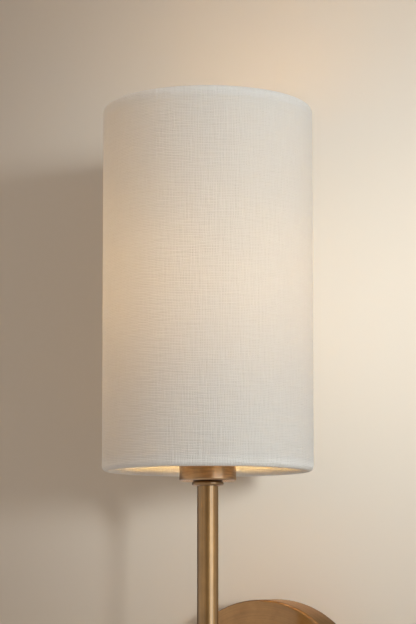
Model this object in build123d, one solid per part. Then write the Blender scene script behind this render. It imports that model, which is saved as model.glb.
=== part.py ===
"""Fabric shade wall light: a round wall plate, an arm and stem, a cup and a linen drum shade.

Millimetres. The origin is the centre of the wall plate's back rim, on the wall.
+X is to the right seen from the room, +Y goes into the wall, +Z is up.
"""
from build123d import *
import math
import os

# Wall plate, and the steel bracket that it hangs on
CANOPY_D = 127.0
CANOPY_DEPTH = 25.0
CANOPY_WALL = 1.2
CANOPY_EDGE_R = 1.5
BRACKET_W = 20.0
BRACKET_T = 2.0
BRACKET_BEND_R = 1.0
EAR_LEN = 15.0
EAR_GAP = 0.6
SLOT_SPACING = 88.9
SLOT_W = 5.0
SLOT_LEN = 14.0
SIDE_SCREW_D = 4.0
SIDE_SCREW_LEN = 8.0
SIDE_SCREW_HEAD_D = 9.0
SIDE_SCREW_HEAD_H = 3.0
SIDE_SCREW_OUT = 9.0
SCREW_HOLE_GAP = 0.25

# Terminal block and earth point inside the wall plate
POLE_COUNT = 3
POLE_PITCH = 8.0
BLOCK_X = -21.0
BLOCK_LEN = 16.0
BLOCK_DEEP = 12.0
BLOCK_MARGIN = 0.4
POLE_TUBE_D = 5.0
POLE_BORE = 3.0
POLE_TUBE_OUT = 6.5
CLAMP_SCREW_D = 2.6
CLAMP_SCREW_SPACING = 8.5
CLAMP_SCREW_SINK = 1.0
BLOCK_SCREW_D = 3.0
BLOCK_SCREW_HEAD_D = 5.0
BLOCK_SCREW_HEAD_H = 1.8
EARTH_X = 17.0
EARTH_SCREW_D = 4.0
EARTH_HEAD_D = 7.0
EARTH_HEAD_H = 2.4
EARTH_LUG_D = 8.0
EARTH_LUG_T = 0.8
EARTH_LUG_REACH = 9.0

# Tubes and threaded nipples
STEM_OUT = 95.0
TUBE_D = 12.7
THREAD_D = 10.0
THREAD_GAP = 0.1
NIPPLE_BORE = 7.0
NIPPLE_GRIP = 10.0
NIPPLE_PROUD = 1.5
WASHER_D = 18.0
WASHER_T = 0.8
NUT_AF = 14.0
NUT_H = 3.0
COLLAR_D = 26.0
COLLAR_LEN = 6.0
COLLAR_EDGE_R = 2.0
HUB_D = 20.0
HUB_H = 28.0
HUB_EDGE_R = 1.5
HUB_BOSS_D = 16.0
HUB_BOSS_REACH = 13.0
HUB_WIRE_ROOM = 6.0
FINIAL_D = 16.0
FINIAL_H = 5.0
FINIAL_EDGE_R = 2.5
STEM_LEN = 118.1
BEAD_D = 19.0
BEAD_H = 3.0
BEAD_EDGE_R = 1.4
CUP_D = 34.2
CUP_H = 14.0
CUP_WALL = 1.0
CUP_EDGE_R = 1.2
SPACER_LEN = 18.0

# Lampholder for a 27 mm screw cap
HOLDER_NECK_D = 16.0
HOLDER_NECK_H = 3.0
HOLDER_CAP_D = 44.0
HOLDER_CAP_H = 26.0
HOLDER_FLOOR = 6.0
HOLDER_WALL = 2.2
SKIRT_D = 39.5
SKIRT_WALL = 2.2
SKIRT_H = 28.0
SKIRT_SPIGOT = 5.0
INSERT_T = 4.0
SHELL_T = 0.4
SHELL_H = 24.0
SHELL_FLOOR_BORE = 12.0
CONTACT_T = 0.4
CONTACT_W = 5.0
CONTACT_RISE = 3.0
CONTACT_FOOT = 4.0
CONTACT_TONGUE = 4.0
TERMINAL_X = 8.0
TERMINAL_W = 5.0
TERMINAL_D = 6.0
TERMINAL_H = 5.0
TERMINAL_POST_D = 3.0
TERMINAL_SCREW_D = 2.4
TERMINAL_SCREW_HEAD_D = 4.0
TERMINAL_SCREW_HEAD_H = 1.5
GRUB_D = 2.5
GRUB_LEN = 2.5

# Bulb
BULB_D = 60.0
BULB_LEN = 108.0
GLASS_T = 0.8
BULB_CAP_D = 26.2
BULB_CAP_WALL = 0.4
BULB_CAP_H = 22.5
BULB_TIP_D = 9.4
BULB_TIP_H = 1.0
INSULATOR_H = 3.5
INSULATOR_SPIGOT = 2.0
GLASS_GRIP = 7.0
GLASS_NECK_H = 5.0
GLASS_NECK_FILLET = 18.0
DRIVER_D = 18.0
DRIVER_H = 9.0
BULB_STEM_D = 6.4
BULB_STEM_TOP = 86.0
FILAMENT_COUNT = 4
FILAMENT_D = 2.2
FILAMENT_FOOT_R = 9.5
FILAMENT_HEAD_R = 4.0
FILAMENT_FOOT_Z = 49.0
DISC_T = 1.0

# Shade
SHADE_D = 127.0
SHADE_H = 220.5
FABRIC_T = 0.7
LINER_T = 0.5
GLUE_GAP = 0.05
RIM_WIRE_D = 4.0
SEAM_LAP = 10.0
SEAM_TURN = 90.0
FITTER_RECESS = 43.4
FITTER_T = 1.2
FITTER_D = 56.0
FITTER_HOLE_GAP = 0.5
SPIDER_COUNT = 3
SPIDER_TURN = 118.0
SPIDER_WIRE_D = 3.0
SPIDER_FOOT = 6.0
SPIDER_BEND_R = 6.0
SPIDER_WELD = 1.0

# Threaded ring that clamps the shade
CLAMP_RING_D = 52.0
CLAMP_RING_H = 8.0
CLAMP_RING_EDGE_R = 1.5
CLAMP_RING_FLUTES = 16
CLAMP_RING_FLUTE_R = 2.2
CLAMP_RING_FLUTE_DEPTH = 0.9

# Clearances between pieces that move on each other
SLIDE_GAP = 0.3
SEAT_GAP = 0.2

# Mains wires
WIRE_D = 1.8
WIRE_SIDE = 1.3
WIRE_TAIL = 3.0
LIVE_LOOP = 5.0
NEUTRAL_LOOP = 8.5
LOOP_SIDE = 4.0
LOOP_OUT = 5.0
LOOP_FALL = 2.0
FAN_RISE = 1.2
FAN_DROP = 2.2
MAINS_RADII = [2.4, 3.6, 3.2, 5.0, 2.4, 2.4]
EARTH_LOOP = 6.5
EARTH_RADII = [4.0, 4.0]

# Places worked out from the sizes above
TUBE_BORE = THREAD_D + 2 * THREAD_GAP
CANOPY_INNER_R = CANOPY_D / 2 - CANOPY_WALL
CANOPY_INSIDE = CANOPY_DEPTH - CANOPY_WALL
EAR_X = math.sqrt(CANOPY_INNER_R**2 - (BRACKET_W / 2) ** 2) - EAR_GAP
ARM_START = CANOPY_DEPTH + COLLAR_LEN
ARM_END = STEM_OUT - HUB_BOSS_REACH
HUB_TOP_Z = HUB_H / 2
BEAD_Z = HUB_TOP_Z + STEM_LEN
CUP_Z = BEAD_Z + BEAD_H
CUP_NUT_Z = CUP_Z + CUP_WALL + WASHER_T
SPACER_Z = CUP_NUT_Z + NUT_H
HOLDER_Z = SPACER_Z + SPACER_LEN
SHOULDER_Z = HOLDER_Z + HOLDER_CAP_H
INSERT_TOP_Z = SHOULDER_Z - SKIRT_SPIGOT
INSERT_Z = INSERT_TOP_Z - INSERT_T
BULB_Z = INSERT_TOP_Z + CONTACT_RISE + SEAT_GAP
BULB_SHELL_Z = BULB_TIP_H + INSULATOR_H
FITTER_Z = SHOULDER_Z + SEAT_GAP
SHADE_Z = FITTER_Z - FITTER_RECESS
SHADE_R = SHADE_D / 2
RIM_WIRE_R = RIM_WIRE_D / 2
HEM_R = FABRIC_T + RIM_WIRE_R + (LINER_T + 3 * GLUE_GAP) / 2
LINER_R = SHADE_R - FABRIC_T - GLUE_GAP
RIM_RING_R = LINER_R - LINER_T - GLUE_GAP - RIM_WIRE_R
LOW_RIM_Z = SHADE_Z + HEM_R
HIGH_RIM_Z = SHADE_Z + SHADE_H - HEM_R

STEM_AXIS = Pos(0, -STEM_OUT, 0)
OUT_OF_WALL = Rot(90, 0, 0)
ON_BASE = (Align.CENTER, Align.CENTER, Align.MIN)


def turned(*corners):
    """A piece turned about Z from its half outline: each corner is radius, height, rounding."""
    points = [(radius, 0, height) for radius, height, _ in corners]
    outline = FilletPolyline(*points, radius=[rounding for _, _, rounding in corners], close=True)
    return revolve(make_face(outline), Axis.Z)


def pipe(outer_d, bore_d, low, high):
    """A round tube on Z between two heights."""
    body = Cylinder(outer_d / 2, high - low, align=ON_BASE) - Cylinder(bore_d / 2, high - low, align=ON_BASE)
    return Pos(0, 0, low) * body


def rod(diameter, low, high):
    """A plain round bar on Z between two heights."""
    return Pos(0, 0, low) * Cylinder(diameter / 2, high - low, align=ON_BASE)


def hex_nut(low):
    """The thin locknut of the threaded nipples."""
    blank = extrude(RegularPolygon(NUT_AF / 2, 6, major_radius=False), NUT_H)
    return Pos(0, 0, low) * (blank - Cylinder(TUBE_BORE / 2, NUT_H, align=ON_BASE))


def nipple(low, high):
    """A length of threaded tube, drawn at the thread's outer diameter."""
    return pipe(THREAD_D, NIPPLE_BORE, low, high)


def screw(shank_d, shank_len, head_d, head_h):
    """A pan-head screw with its head's seat at Z = 0 and its shank going down."""
    head = turned(
        (0, 0, 0),
        (head_d / 2, 0, 0),
        (head_d / 2, head_h, head_h * 0.6),
        (0, head_h, 0),
    )
    return head + rod(shank_d, -shank_len, 0)


def round_wire(points, radii, diameter):
    """A round wire along straight runs joined by tangent arcs."""
    path = FilletPolyline(*points, radius=radii)
    section = Plane(origin=path @ 0, z_dir=path % 0) * Circle(diameter / 2)
    return sweep(section, path=path)


# ---- wall plate and bracket ------------------------------------------------


def canopy():
    """Pressed dish, open at the back, with the arm's hole in front and a screw hole each side."""
    outer_r = CANOPY_D / 2
    inner_edge_r = max(CANOPY_EDGE_R - CANOPY_WALL, 0)
    dish = turned(
        (TUBE_BORE / 2, CANOPY_INSIDE, 0),
        (TUBE_BORE / 2, CANOPY_DEPTH, 0),
        (outer_r, CANOPY_DEPTH, CANOPY_EDGE_R),
        (outer_r, 0, 0),
        (CANOPY_INNER_R, 0, 0),
        (CANOPY_INNER_R, CANOPY_INSIDE, inner_edge_r),
    )
    side_hole = Cylinder(SIDE_SCREW_D / 2 + SCREW_HOLE_GAP, CANOPY_D + CANOPY_WALL)
    return OUT_OF_WALL * (dish - Pos(0, 0, SIDE_SCREW_OUT) * Rot(0, 90, 0) * side_hole)


def wall_bracket():
    """Steel strap across the plate, with a slot at each side for a wall screw and ears for the plate."""
    inner_x = EAR_X - BRACKET_T
    outer_bend = BRACKET_BEND_R + BRACKET_T
    corners = [
        (-EAR_X, 0, outer_bend),
        (EAR_X, 0, outer_bend),
        (EAR_X, -EAR_LEN, 0),
        (inner_x, -EAR_LEN, 0),
        (inner_x, -BRACKET_T, BRACKET_BEND_R),
        (-inner_x, -BRACKET_T, BRACKET_BEND_R),
        (-inner_x, -EAR_LEN, 0),
        (-EAR_X, -EAR_LEN, 0),
    ]
    outline = FilletPolyline(*[(x, y) for x, y, _ in corners], radius=[r for _, _, r in corners], close=True)
    strap = Pos(0, 0, -BRACKET_W / 2) * extrude(make_face(outline), BRACKET_W)
    slot = extrude(SlotOverall(SLOT_LEN, SLOT_W), BRACKET_T * 2)
    for side in (-1, 1):
        strap -= Pos(side * SLOT_SPACING / 2, BRACKET_T / 2, 0) * OUT_OF_WALL * slot
        ear_hole = Cylinder(SIDE_SCREW_D / 2 + THREAD_GAP, BRACKET_T * 3)
        strap -= Pos(side * EAR_X, -SIDE_SCREW_OUT, 0) * Rot(0, 90, 0) * ear_hole
    earth_hole = Cylinder(EARTH_SCREW_D / 2 + THREAD_GAP, BRACKET_T * 3)
    block_hole = Cylinder(BLOCK_SCREW_D / 2 + THREAD_GAP, BRACKET_T * 3)
    strap -= Pos(EARTH_X, 0, 0) * OUT_OF_WALL * earth_hole
    strap -= Pos(BLOCK_X + POLE_PITCH / 2, 0, 0) * OUT_OF_WALL * block_hole
    return strap


def canopy_side_screws():
    """One screw each side, through the plate's rim into the bracket's ear."""
    one = screw(SIDE_SCREW_D, SIDE_SCREW_LEN, SIDE_SCREW_HEAD_D, SIDE_SCREW_HEAD_H)
    seat_x = CANOPY_D / 2 + GLUE_GAP
    right = Pos(seat_x, -SIDE_SCREW_OUT, 0) * Rot(0, 90, 0) * one
    left = Pos(-seat_x, -SIDE_SCREW_OUT, 0) * Rot(0, -90, 0) * one
    return [right, left]


def pole_xs():
    """The X of each pole of the terminal block, from the earth pole outwards."""
    first = BLOCK_X + POLE_PITCH * (POLE_COUNT - 1) / 2
    return [first - POLE_PITCH * index for index in range(POLE_COUNT)]


def pole_screw_places():
    """Where each clamp screw of the terminal block stands."""
    return [(x, side * CLAMP_SCREW_SPACING / 2) for x in pole_xs() for side in (-1, 1)]


def terminal_block():
    """Moulded block on the strap, with a bore for each pole and a hole over each clamp screw."""
    length = POLE_COUNT * POLE_PITCH + 2 * BLOCK_MARGIN
    block = Box(length, BLOCK_LEN, BLOCK_DEEP, align=ON_BASE)
    block = fillet(block.edges().filter_by(Axis.Z), 1.0)
    block = Pos(BLOCK_X, 0, BRACKET_T) * block
    for x in pole_xs():
        bore = Rot(90, 0, 0) * Cylinder(POLE_TUBE_D / 2 + GLUE_GAP, BLOCK_LEN * 2)
        block -= Pos(x, 0, BRACKET_T + POLE_TUBE_OUT) * bore
    screw_well = Cylinder(CLAMP_SCREW_D / 2 + THREAD_GAP, BLOCK_DEEP, align=ON_BASE)
    for x, z in pole_screw_places():
        block -= Pos(x, z, BRACKET_T + POLE_TUBE_OUT) * screw_well
    block_screw_hole = Cylinder(BLOCK_SCREW_D / 2 + THREAD_GAP, BLOCK_DEEP * 3)
    block -= Pos(BLOCK_X + POLE_PITCH / 2, 0, 0) * block_screw_hole
    return OUT_OF_WALL * block


def terminal_tubes():
    """Brass tubes in the block that grip the wire ends."""
    tubes = []
    hole = Cylinder(CLAMP_SCREW_D / 2 + THREAD_GAP, POLE_TUBE_D, align=ON_BASE)
    for x in pole_xs():
        tube = Rot(90, 0, 0) * pipe(POLE_TUBE_D, POLE_BORE, -BLOCK_LEN / 2 + 1, BLOCK_LEN / 2 - 1)
        for side in (-1, 1):
            tube -= Pos(0, side * CLAMP_SCREW_SPACING / 2, 0) * hole
        tubes.append(OUT_OF_WALL * Pos(x, 0, BRACKET_T + POLE_TUBE_OUT) * tube)
    return tubes


def clamp_screws():
    """Two small screws a pole, down through the block onto the wire."""
    low = BRACKET_T + POLE_TUBE_OUT + WIRE_D / 2 + GLUE_GAP
    high = BRACKET_T + BLOCK_DEEP - CLAMP_SCREW_SINK
    one = rod(CLAMP_SCREW_D, low, high)
    return [OUT_OF_WALL * Pos(x, z, 0) * one for x, z in pole_screw_places()]


def terminal_block_screw():
    """The screw that holds the terminal block to the strap, between two poles."""
    seat = BRACKET_T + BLOCK_DEEP
    one = screw(BLOCK_SCREW_D, seat - SEAT_GAP, BLOCK_SCREW_HEAD_D, BLOCK_SCREW_HEAD_H)
    return OUT_OF_WALL * Pos(BLOCK_X + POLE_PITCH / 2, 0, seat) * one


def earth_lug():
    """Ring terminal under the earth screw, with its barrel pointing down."""
    eye = Cylinder(EARTH_LUG_D / 2, EARTH_LUG_T, align=ON_BASE)
    tongue = Box(WIRE_D * 2, EARTH_LUG_REACH, EARTH_LUG_T, align=(Align.CENTER, Align.MAX, Align.MIN))
    barrel_len = EARTH_LUG_REACH - EARTH_LUG_D / 2
    barrel_d = WIRE_D + 2 * EARTH_LUG_T
    barrel = Rot(90, 0, 0) * pipe(barrel_d, WIRE_D + 2 * GLUE_GAP, 0, barrel_len)
    lug = eye + tongue
    lug -= Pos(0, -EARTH_LUG_D / 2, barrel_d / 2) * Rot(90, 0, 0) * rod(barrel_d, 0, barrel_len)
    lug += Pos(0, -EARTH_LUG_D / 2, barrel_d / 2) * barrel
    lug -= Cylinder(EARTH_SCREW_D / 2 + THREAD_GAP, EARTH_LUG_T * 3)
    return OUT_OF_WALL * Pos(EARTH_X, 0, BRACKET_T) * lug


def earth_screw():
    """The screw that holds the earth lug to the strap, and stops short of the wall."""
    seat = BRACKET_T + EARTH_LUG_T
    one = screw(EARTH_SCREW_D, seat - SEAT_GAP, EARTH_HEAD_D, EARTH_HEAD_H)
    return OUT_OF_WALL * Pos(EARTH_X, 0, seat) * one


# ---- arm, hub and stem -----------------------------------------------------


def arm_nipple():
    """Threaded tube through the plate's front, which carries the whole lamp."""
    inside = CANOPY_INSIDE - WASHER_T - NUT_H - NIPPLE_PROUD
    return OUT_OF_WALL * nipple(inside, ARM_START + NIPPLE_GRIP)


def arm_washer():
    return OUT_OF_WALL * pipe(WASHER_D, TUBE_BORE, CANOPY_INSIDE - WASHER_T, CANOPY_INSIDE)


def arm_nut():
    return OUT_OF_WALL * hex_nut(CANOPY_INSIDE - WASHER_T - NUT_H)


def arm_collar():
    """Turned collar between the plate and the arm."""
    collar = turned(
        (TUBE_BORE / 2, CANOPY_DEPTH, 0),
        (COLLAR_D / 2, CANOPY_DEPTH, 0),
        (COLLAR_D / 2, ARM_START, COLLAR_EDGE_R),
        (TUBE_BORE / 2, ARM_START, 0),
    )
    return OUT_OF_WALL * collar


def arm_tube():
    return OUT_OF_WALL * pipe(TUBE_D, TUBE_BORE, ARM_START, ARM_END)


def hub():
    """Turned knuckle that joins the arm to the stem: a barrel with a boss towards the wall."""
    barrel = turned(
        (0, -HUB_H / 2, 0),
        (HUB_D / 2, -HUB_H / 2, HUB_EDGE_R),
        (HUB_D / 2, HUB_H / 2, HUB_EDGE_R),
        (0, HUB_H / 2, 0),
    )
    towards_wall = Rot(-90, 0, 0)
    body = barrel + towards_wall * rod(HUB_BOSS_D, 0, HUB_BOSS_REACH)
    body -= Cylinder(TUBE_BORE / 2, HUB_H * 2)
    body -= towards_wall * rod(TUBE_BORE, 0, HUB_BOSS_REACH * 2)
    return STEM_AXIS * body


def hub_arm_nipple():
    return OUT_OF_WALL * nipple(ARM_END - NIPPLE_GRIP, STEM_OUT - HUB_WIRE_ROOM)


def hub_stem_nipple():
    return STEM_AXIS * nipple(HUB_WIRE_ROOM, HUB_TOP_Z + NIPPLE_GRIP)


def hub_finial():
    """Button that closes the hub's lower end, with its own threaded stud."""
    button = turned(
        (0, -HUB_H / 2 - FINIAL_H, 0),
        (FINIAL_D / 2, -HUB_H / 2 - FINIAL_H, FINIAL_EDGE_R),
        (FINIAL_D / 2, -HUB_H / 2, 0),
        (0, -HUB_H / 2, 0),
    )
    return STEM_AXIS * (button + rod(THREAD_D, -HUB_H / 2, -HUB_WIRE_ROOM))


def stem_tube():
    return STEM_AXIS * pipe(TUBE_D, TUBE_BORE, HUB_TOP_Z, BEAD_Z)


def stem_bead():
    """Rounded ring between the stem and the cup."""
    return STEM_AXIS * turned(
        (TUBE_BORE / 2, BEAD_Z, 0),
        (BEAD_D / 2, BEAD_Z, BEAD_EDGE_R),
        (BEAD_D / 2, CUP_Z, BEAD_EDGE_R),
        (TUBE_BORE / 2, CUP_Z, 0),
    )


def cup():
    """Turned cup that hides the foot of the lampholder."""
    outer_r = CUP_D / 2
    inner_edge_r = max(CUP_EDGE_R - CUP_WALL, 0)
    return STEM_AXIS * turned(
        (TUBE_BORE / 2, CUP_Z, 0),
        (outer_r, CUP_Z, CUP_EDGE_R),
        (outer_r, CUP_Z + CUP_H, 0),
        (outer_r - CUP_WALL, CUP_Z + CUP_H, 0),
        (outer_r - CUP_WALL, CUP_Z + CUP_WALL, inner_edge_r),
        (TUBE_BORE / 2, CUP_Z + CUP_WALL, 0),
    )


def cup_washer():
    return STEM_AXIS * pipe(WASHER_D, TUBE_BORE, CUP_NUT_Z - WASHER_T, CUP_NUT_Z)


def cup_nut():
    return STEM_AXIS * hex_nut(CUP_NUT_Z)


def socket_spacer():
    """Short tube that lifts the lampholder above the cup."""
    return STEM_AXIS * pipe(TUBE_D, TUBE_BORE, SPACER_Z, HOLDER_Z)


def socket_nipple():
    """Threaded tube from the stem through bead, cup and spacer into the lampholder."""
    return STEM_AXIS * nipple(BEAD_Z - NIPPLE_GRIP, HOLDER_Z + HOLDER_FLOOR)


# ---- lampholder ------------------------------------------------------------


def holder_cap():
    """Domed lower half: a threaded neck, a 45 degree cone and a straight collar with a ledge."""
    neck_r = HOLDER_NECK_D / 2
    outer_r = HOLDER_CAP_D / 2
    collar_r = SKIRT_D / 2 + THREAD_GAP
    cone_top_z = HOLDER_Z + HOLDER_NECK_H + outer_r - neck_r
    inset = HOLDER_WALL * math.sqrt(2)
    floor_r = neck_r + HOLDER_FLOOR - HOLDER_NECK_H - inset
    ledge_r = floor_r + INSERT_Z - HOLDER_Z - HOLDER_FLOOR
    ledge_r = min(ledge_r, collar_r - INSERT_T / 2)
    ledge_foot_z = HOLDER_Z + HOLDER_FLOOR + ledge_r - floor_r
    corners = [
        (TUBE_BORE / 2, HOLDER_Z, 0),
        (neck_r, HOLDER_Z, 0),
        (neck_r, HOLDER_Z + HOLDER_NECK_H, 0),
        (outer_r, cone_top_z, HOLDER_WALL),
        (outer_r, SHOULDER_Z, 0),
        (collar_r, SHOULDER_Z, 0),
        (collar_r, INSERT_Z, 0),
        (ledge_r, INSERT_Z, 0),
        (ledge_r, ledge_foot_z, 0),
        (floor_r, HOLDER_Z + HOLDER_FLOOR, 0),
        (TUBE_BORE / 2, HOLDER_Z + HOLDER_FLOOR, 0),
    ]
    body = turned(*corners)
    grub_hole = rod(GRUB_D + 2 * THREAD_GAP, 0, HOLDER_NECK_D)
    return STEM_AXIS * (body - Pos(0, 0, HOLDER_Z + HOLDER_NECK_H / 2) * Rot(-90, 0, 0) * grub_hole)


def holder_grub_screw():
    """Headless screw in the neck that locks the lampholder on its nipple."""
    start = THREAD_D / 2 + GLUE_GAP
    one = rod(GRUB_D, start, start + GRUB_LEN)
    return STEM_AXIS * Pos(0, 0, HOLDER_Z + HOLDER_NECK_H / 2) * Rot(-90, 0, 0) * one


def terminal_hole():
    """The hole through the insert for one terminal's post."""
    return rod(TERMINAL_POST_D + 2 * GLUE_GAP, INSERT_Z - 1, INSERT_TOP_Z + 1)


def holder_insert():
    """Ceramic disc between cap and skirt that carries the contacts."""
    disc = rod(SKIRT_D, INSERT_Z, INSERT_TOP_Z)
    for side in (-1, 1):
        disc -= Pos(side * TERMINAL_X, 0, 0) * terminal_hole()
    return STEM_AXIS * disc


def holder_terminals():
    """Two brass blocks under the insert, each with a post through it and a blind wire hole."""
    blocks = []
    for side in (-1, 1):
        block = Pos(0, 0, INSERT_Z) * Box(
            TERMINAL_W, TERMINAL_D, TERMINAL_H, align=(Align.CENTER, Align.CENTER, Align.MAX)
        )
        block += rod(TERMINAL_POST_D, INSERT_Z, INSERT_TOP_Z)
        block -= rod(WIRE_D + 2 * THREAD_GAP, INSERT_Z - TERMINAL_H, INSERT_Z - TERMINAL_H + WIRE_TAIL)
        screw_hole = Rot(90, 0, 0) * rod(TERMINAL_SCREW_D + 2 * THREAD_GAP, WIRE_D / 2, TERMINAL_D)
        block -= Pos(0, 0, INSERT_Z - TERMINAL_H + WIRE_TAIL / 2) * screw_hole
        blocks.append(STEM_AXIS * Pos(side * TERMINAL_X, 0, 0) * block)
    return blocks


def holder_terminal_screws():
    """One screw in the front of each brass block, onto the wire."""
    shank = TERMINAL_D / 2 - WIRE_D / 2 - GLUE_GAP
    one = screw(TERMINAL_SCREW_D, shank, TERMINAL_SCREW_HEAD_D, TERMINAL_SCREW_HEAD_H)
    height = INSERT_Z - TERMINAL_H + WIRE_TAIL / 2
    return [
        STEM_AXIS * Pos(side * TERMINAL_X, -TERMINAL_D / 2, height) * OUT_OF_WALL * one for side in (-1, 1)
    ]


def holder_screw_shell():
    """Brass shell that takes the bulb's cap, with a floor cut away round the centre contact."""
    bore_r = BULB_CAP_D / 2 + SLIDE_GAP
    outer_r = bore_r + SHELL_T
    shell = turned(
        (SHELL_FLOOR_BORE / 2, INSERT_TOP_Z, 0),
        (outer_r, INSERT_TOP_Z, 0),
        (outer_r, INSERT_TOP_Z + SHELL_H, 0),
        (bore_r, INSERT_TOP_Z + SHELL_H, 0),
        (bore_r, INSERT_TOP_Z + SHELL_T, 0),
        (SHELL_FLOOR_BORE / 2, INSERT_TOP_Z + SHELL_T, 0),
    )
    gap = Box(
        bore_r, CONTACT_W + 4 * SHELL_T, SHELL_T * 2, align=(Align.MAX, Align.CENTER, Align.CENTER)
    )
    return STEM_AXIS * (shell - Pos(-SHELL_T, 0, INSERT_TOP_Z) * gap)


def holder_centre_contact():
    """Sprung bronze strip: a foot on its post, a slope and a tongue under the bulb's tip."""
    foot_x = -TERMINAL_X
    rise = CONTACT_RISE - CONTACT_T
    outline = Polyline(
        (foot_x - CONTACT_FOOT / 2, 0, 0),
        (foot_x + CONTACT_FOOT / 2, 0, 0),
        (-CONTACT_TONGUE / 2, 0, rise),
        (CONTACT_TONGUE, 0, rise),
        (CONTACT_TONGUE, 0, CONTACT_RISE),
        (-CONTACT_TONGUE / 2 - CONTACT_T / 2, 0, CONTACT_RISE),
        (foot_x + CONTACT_FOOT / 2 - CONTACT_T / 2, 0, CONTACT_T),
        (foot_x - CONTACT_FOOT / 2, 0, CONTACT_T),
        close=True,
    )
    strip = extrude(make_face(outline), CONTACT_W / 2, both=True)
    return STEM_AXIS * Pos(0, 0, INSERT_TOP_Z) * strip


def holder_skirt():
    """Upper half: a threaded sleeve round the bulb's cap, whose spigot holds the insert down."""
    return STEM_AXIS * pipe(SKIRT_D, SKIRT_D - 2 * SKIRT_WALL, INSERT_TOP_Z, SHOULDER_Z + SKIRT_H)


# ---- wires -----------------------------------------------------------------


def pole_wire_end(x, side, reach):
    """Points from inside a pole's tube to just outside the block."""
    out = -BRACKET_T - POLE_TUBE_OUT
    return [(x, out, side * (BLOCK_LEN / 2 - WIRE_TAIL)), (x, out, side * (BLOCK_LEN / 2 + reach))]


def mains_wire(pole, side, loop):
    """One core, from its pole over a loop and through arm, hub and stem to the lampholder."""
    lane = side * WIRE_SIDE
    nipple_mouth = -(CANOPY_INSIDE - WASHER_T - NUT_H - NIPPLE_PROUD)
    start, above = pole_wire_end(pole_xs()[pole], 1, loop)
    terminal_z = INSERT_Z - TERMINAL_H
    points = [
        start,
        above,
        (lane - LOOP_SIDE, nipple_mouth + LOOP_OUT + LOOP_FALL, BLOCK_LEN / 2 + loop - LOOP_FALL),
        (lane, nipple_mouth + LOOP_OUT, 0),
        (lane, -STEM_OUT, 0),
        (lane, -STEM_OUT, HOLDER_Z + HOLDER_FLOOR + FAN_RISE),
        (side * TERMINAL_X, -STEM_OUT, terminal_z - FAN_DROP),
        (side * TERMINAL_X, -STEM_OUT, terminal_z + WIRE_TAIL - GLUE_GAP),
    ]
    return round_wire(points, MAINS_RADII, WIRE_D)


def live_wire():
    return mains_wire(1, -1, LIVE_LOOP)


def neutral_wire():
    return mains_wire(2, 1, NEUTRAL_LOOP)


def earth_wire():
    """Short core from the earth pole, under the strap's lower edge and up into the lug."""
    start, below = pole_wire_end(pole_xs()[0], -1, EARTH_LOOP)
    lug_out = -(BRACKET_T + (WIRE_D + 2 * EARTH_LUG_T) / 2)
    lug_mouth = -EARTH_LUG_REACH
    points = [
        start,
        below,
        (EARTH_X, lug_out, lug_mouth - EARTH_LOOP),
        (EARTH_X, lug_out, lug_mouth + WIRE_TAIL),
    ]
    return round_wire(points, EARTH_RADII, WIRE_D)


# ---- shade -----------------------------------------------------------------


def hem_profile(rim_z, outwards):
    """Half round of fabric about a rim wire: outwards is -1 at the lower rim and +1 at the upper."""
    centre_r = SHADE_R - HEM_R
    outer = CenterArc((centre_r, rim_z), HEM_R, 0, outwards * 180)
    inner = CenterArc((centre_r, rim_z), HEM_R - FABRIC_T, 0, outwards * 180)
    ends = [Line(outer @ 0, inner @ 0), Line(outer @ 1, inner @ 1)]
    return make_face([outer, inner] + ends)


def shade_fabric():
    """Linen sleeve rolled round both rim wires, with its overlapped seam at the back."""
    wall_height = HIGH_RIM_Z - LOW_RIM_Z
    wall = Pos(SHADE_R - FABRIC_T / 2, (LOW_RIM_Z + HIGH_RIM_Z) / 2) * Rectangle(FABRIC_T, wall_height)
    profile = wall + hem_profile(LOW_RIM_Z, -1) + hem_profile(HIGH_RIM_Z, 1)
    sleeve = revolve(Plane.XZ * profile, Axis.Z)
    lap = pipe(SHADE_D + 2 * FABRIC_T, SHADE_D - FABRIC_T, LOW_RIM_Z, HIGH_RIM_Z)
    strip = Box(SHADE_D, SEAM_LAP, SHADE_H * 2, align=(Align.MIN, Align.CENTER, Align.MIN))
    lap &= Rot(0, 0, SEAM_TURN) * strip
    return STEM_AXIS * (sleeve + lap)


def shade_liner():
    """Clear styrene sheet that stiffens the fabric."""
    return STEM_AXIS * pipe(2 * LINER_R, 2 * (LINER_R - LINER_T), LOW_RIM_Z, HIGH_RIM_Z)


def rim_ring(rim_z):
    """A wire ring inside one hem."""
    return Pos(0, 0, rim_z) * Torus(RIM_RING_R, RIM_WIRE_R)


def shade_top_ring():
    return STEM_AXIS * rim_ring(HIGH_RIM_Z)


def shade_bottom_ring():
    return STEM_AXIS * rim_ring(LOW_RIM_Z)


def fitter_ring():
    """Flat steel ring that sits on the lampholder's shoulder."""
    hole_d = SKIRT_D + 2 * FITTER_HOLE_GAP
    return STEM_AXIS * pipe(FITTER_D, hole_d, FITTER_Z, FITTER_Z + FITTER_T)


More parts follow.
